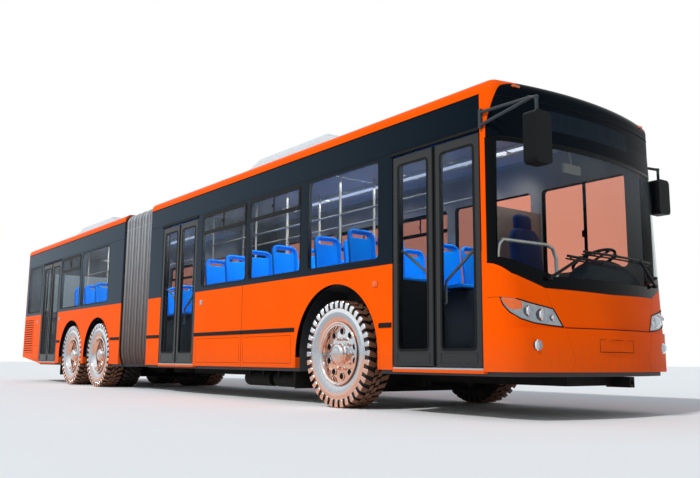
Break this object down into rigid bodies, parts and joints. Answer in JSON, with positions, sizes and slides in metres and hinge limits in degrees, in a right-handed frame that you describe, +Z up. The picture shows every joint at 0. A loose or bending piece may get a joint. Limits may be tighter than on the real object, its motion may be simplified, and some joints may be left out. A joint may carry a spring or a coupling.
{
  "type": "articulated city bus",
  "caption": "Orange articulated city bus with folding bellows, inward-swinging double doors, tinted glass and lugged off-road tyres",
  "frame": {"origin": "middle of the bounding box at ground level", "axes": "X forward towards the driver's screen, Y to the driver's left, Z up"},
  "size_m": [15.71, 2.98, 3.27],
  "materials": {
    "orange_paint": "glossy coach paint",
    "black_gloss": "gloss black moulding",
    "glass": "grey tinted glass",
    "lamp_glass": "clear lamp lens",
    "red_lens": "red lamp lens",
    "black_plastic": "grained black plastic",
    "dark_frame": "dark grey door frame paint",
    "blue_plastic": "moulded blue seat plastic",
    "driver_cloth": "dark woven seat cloth",
    "rail_paint": "pale powder coat",
    "white_shell": "white moulded roof cover",
    "chassis_paint": "black chassis paint",
    "engine_iron": "dull grey iron",
    "bellows_cloth": "coated grey bellows cloth",
    "floor_grey": "grey floor covering on board",
    "polished_wheel": "polished wheel metal",
    "tyre_rubber": "rubber with silvered shoulders"
  },
  "bodies": {
    "front_section": {"front_floor": "floor_grey", "front_wall_right": "orange_paint", "front_wall_left": "orange_paint", "front_roof": "orange_paint", "front_panels": "orange_paint", "front_header": "black_gloss", "windscreen": "glass", "headlamps": "lamp_glass", "wipers": "black_plastic", "mirrors": "black_plastic", "front_side_glass": "glass", "cab_fittings": "black_plastic", "driver_seat": "driver_cloth", "front_seats": "blue_plastic", "front_handrails": "rail_paint", "front_roof_unit": "white_shell", "front_underframe": "chassis_paint", "front_axle": "chassis_paint", "bellows": "bellows_cloth"},
    "rear_section": {"rear_floor": "floor_grey", "rear_wall_right": "orange_paint", "rear_wall_left": "orange_paint", "rear_roof": "orange_paint", "rear_panel": "orange_paint", "rear_side_glass": "glass", "tail_lamps": "red_lens", "engine": "engine_iron", "rear_axles": "chassis_paint", "rear_underframe": "chassis_paint", "rear_seats": "blue_plastic", "rear_handrails": "rail_paint", "rear_roof_unit": "white_shell"},
    "knuckle_left_body": {"knuckle_left": "chassis_paint"},
    "front_wheel_left": {"front_rim_left": "polished_wheel", "front_tyre_left": "tyre_rubber"},
    "knuckle_right_body": {"knuckle_right": "chassis_paint"},
    "front_wheel_right": {"front_rim_right": "polished_wheel", "front_tyre_right": "tyre_rubber"},
    "rear_wheel_1_left": {"rear_rims_1_left": "polished_wheel", "rear_tyres_1_left": "tyre_rubber"},
    "rear_wheel_1_right": {"rear_rims_1_right": "polished_wheel", "rear_tyres_1_right": "tyre_rubber"},
    "rear_wheel_2_left": {"rear_rims_2_left": "polished_wheel", "rear_tyres_2_left": "tyre_rubber"},
    "rear_wheel_2_right": {"rear_rims_2_right": "polished_wheel", "rear_tyres_2_right": "tyre_rubber"},
    "front_leaf_fore": {"front_door_fore": "dark_frame", "front_door_fore_glass": "glass"},
    "front_leaf_aft": {"front_door_aft": "dark_frame", "front_door_aft_glass": "glass"},
    "middle_leaf_fore": {"middle_door_fore": "dark_frame", "middle_door_fore_glass": "glass"},
    "middle_leaf_aft": {"middle_door_aft": "dark_frame", "middle_door_aft_glass": "glass"},
    "rear_leaf_fore": {"rear_door_fore": "dark_frame", "rear_door_fore_glass": "glass"},
    "rear_leaf_aft": {"rear_door_aft": "dark_frame", "rear_door_aft_glass": "glass"},
    "lid": {"engine_lid": "orange_paint"}
  },
  "joints": [
    {"name": "articulation", "type": "hinge", "parent": "front_section", "child": "rear_section", "pos_m": [-0.9115, 0, 0.35], "axis": [0, 0, 1], "range_deg": [-45, 45], "deforming": ["bellows"]},
    {"name": "steer_left", "type": "hinge", "parent": "front_section", "child": "knuckle_left_body", "pos_m": [4.825, 0.925, 0.583], "axis": [0, 0, 1], "range_deg": [-40, 40]},
    {"name": "spin_front_left", "type": "hinge", "parent": "knuckle_left_body", "child": "front_wheel_left", "pos_m": [4.825, 1.0575, 0.583], "axis": [0, 1, 0], "continuous": true},
    {"name": "steer_right", "type": "hinge", "parent": "front_section", "child": "knuckle_right_body", "pos_m": [4.825, -0.925, 0.583], "axis": [0, 0, 1], "range_deg": [-40, 40]},
    {"name": "spin_front_right", "type": "hinge", "parent": "knuckle_right_body", "child": "front_wheel_right", "pos_m": [4.825, -1.0575, 0.583], "axis": [0, 1, 0], "continuous": true},
    {"name": "spin_rear_1_left", "type": "hinge", "parent": "rear_section", "child": "rear_wheel_1_left", "pos_m": [-2.645, 0.9, 0.583], "axis": [0, 1, 0], "continuous": true},
    {"name": "spin_rear_1_right", "type": "hinge", "parent": "rear_section", "child": "rear_wheel_1_right", "pos_m": [-2.645, -0.9, 0.583], "axis": [0, 1, 0], "continuous": true},
    {"name": "spin_rear_2_left", "type": "hinge", "parent": "rear_section", "child": "rear_wheel_2_left", "pos_m": [-4.145, 0.9, 0.583], "axis": [0, 1, 0], "continuous": true},
    {"name": "spin_rear_2_right", "type": "hinge", "parent": "rear_section", "child": "rear_wheel_2_right", "pos_m": [-4.145, -0.9, 0.583], "axis": [0, 1, 0], "continuous": true},
    {"name": "front_door_fore_swing", "type": "hinge", "parent": "front_section", "child": "front_leaf_fore", "pos_m": [6.975, -1.166, 1.5], "axis": [0, 0, -1], "range_deg": [0, 90]},
    {"name": "front_door_aft_swing", "type": "hinge", "parent": "front_section", "child": "front_leaf_aft", "pos_m": [5.857, -1.166, 1.5], "axis": [0, 0, 1], "range_deg": [0, 90]},
    {"name": "middle_door_fore_swing", "type": "hinge", "parent": "front_section", "child": "middle_leaf_fore", "pos_m": [1.343, -1.166, 1.5], "axis": [0, 0, -1], "range_deg": [0, 90]},
    {"name": "middle_door_aft_swing", "type": "hinge", "parent": "front_section", "child": "middle_leaf_aft", "pos_m": [0.225, -1.166, 1.5], "axis": [0, 0, 1], "range_deg": [0, 90]},
    {"name": "rear_door_fore_swing", "type": "hinge", "parent": "rear_section", "child": "rear_leaf_fore", "pos_m": [-5.11, -1.166, 1.5], "axis": [0, 0, -1], "range_deg": [0, 90]},
    {"name": "rear_door_aft_swing", "type": "hinge", "parent": "rear_section", "child": "rear_leaf_aft", "pos_m": [-6.228, -1.166, 1.5], "axis": [0, 0, 1], "range_deg": [0, 90]},
    {"name": "engine_lid_swing", "type": "hinge", "parent": "rear_section", "child": "lid", "pos_m": [-7.80671, 0, 1.38], "axis": [0, 1, 0], "range_deg": [0, 75]}
  ],
  "couplings": [
    {"joint": "steer_right", "follows": "steer_left", "ratio": 1},
    {"joint": "front_door_aft_swing", "follows": "front_door_fore_swing", "ratio": 1},
    {"joint": "middle_door_aft_swing", "follows": "middle_door_fore_swing", "ratio": 1},
    {"joint": "rear_door_aft_swing", "follows": "rear_door_fore_swing", "ratio": 1}
  ]
}
